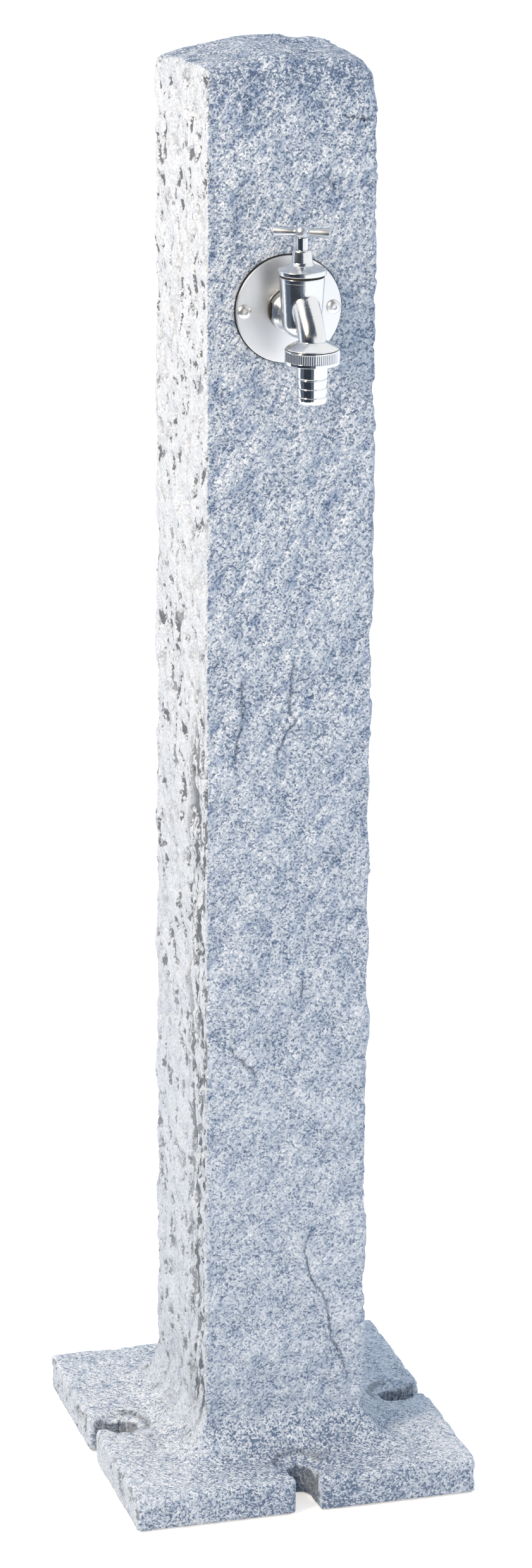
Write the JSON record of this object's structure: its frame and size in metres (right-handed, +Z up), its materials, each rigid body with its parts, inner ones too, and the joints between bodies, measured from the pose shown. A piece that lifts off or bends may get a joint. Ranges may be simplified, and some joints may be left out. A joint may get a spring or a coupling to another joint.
{
  "type": "garden water post",
  "caption": "Free-standing square column with a hewn granite look on a slotted base, with a chromed hose-union tap opened by a small T-bar.",
  "frame": {"origin": "middle of the base's underside, on the ground", "axes": "+Z up the column, +X to the right along the front face, -Y out of the front face towards the tap"},
  "size_m": [0.244, 0.2668, 0.9999],
  "materials": {
    "granite_plastic": "moulded polyethylene with a hewn, speckled granite look",
    "brushed_steel": "brushed stainless steel",
    "cast_chrome": "chrome plate over satin cast brass",
    "chrome": "polished chrome plate on turned brass",
    "brass": "plain turned brass",
    "rubber": "black rubber",
    "fibre": "red vulcanised fibre",
    "packing": "white stem packing"
  },
  "bodies": {
    "post": {"post_shell": "granite_plastic", "rosette_plate": "brushed_steel", "rosette_gasket": "rubber", "rosette_screw_left": "brushed_steel", "rosette_screw_right": "brushed_steel", "insert_left": "brass", "insert_right": "brass", "tap_body": "cast_chrome", "inlet_gasket": "fibre", "tap_backnut": "brass", "elbow": "brass", "elbow_washer": "fibre", "riser_hose": "rubber", "clamp_top": "brushed_steel", "clamp_bottom": "brushed_steel", "clamp_screw_top": "brushed_steel", "clamp_screw_bottom": "brushed_steel", "inlet_socket": "brass", "socket_washer": "rubber", "socket_backnut": "brass", "bonnet": "chrome", "bonnet_gasket": "fibre", "stem_packing": "packing"},
    "valve": {"valve_jumper": "brass", "valve_washer": "rubber", "washer_screw": "brass"},
    "handle": {"spindle": "chrome", "toggle_hub": "chrome", "toggle_arm_left": "chrome", "toggle_arm_right": "chrome"},
    "tail": {"hose_tail": "chrome", "union_gasket": "rubber"},
    "nut": {"union_nut": "chrome"}
  },
  "joints": [
    {"name": "valve_lift", "type": "slide", "parent": "post", "child": "valve", "axis": [0, 0, 1], "range_m": [0, 0.0045]},
    {"name": "spindle_turn", "type": "hinge", "parent": "valve", "child": "handle", "pos_m": [-0.003, -0.0985, 0.8352], "axis": [0, 0, 1], "range_deg": [0, 805]},
    {"name": "tail_drop", "type": "slide", "parent": "post", "child": "tail", "axis": [0, 0, 1], "range_m": [-0.004, 0]},
    {"name": "nut_turn", "type": "hinge", "parent": "tail", "child": "nut", "pos_m": [-0.003, -0.123, 0.8352], "axis": [0, 0, 1], "range_deg": [-790, 0]}
  ],
  "couplings": [
    {"joint": "valve_lift", "follows": "spindle_turn", "m_per_rad": 0.00031831},
    {"joint": "tail_drop", "follows": "nut_turn", "m_per_rad": 0.00028871}
  ]
}
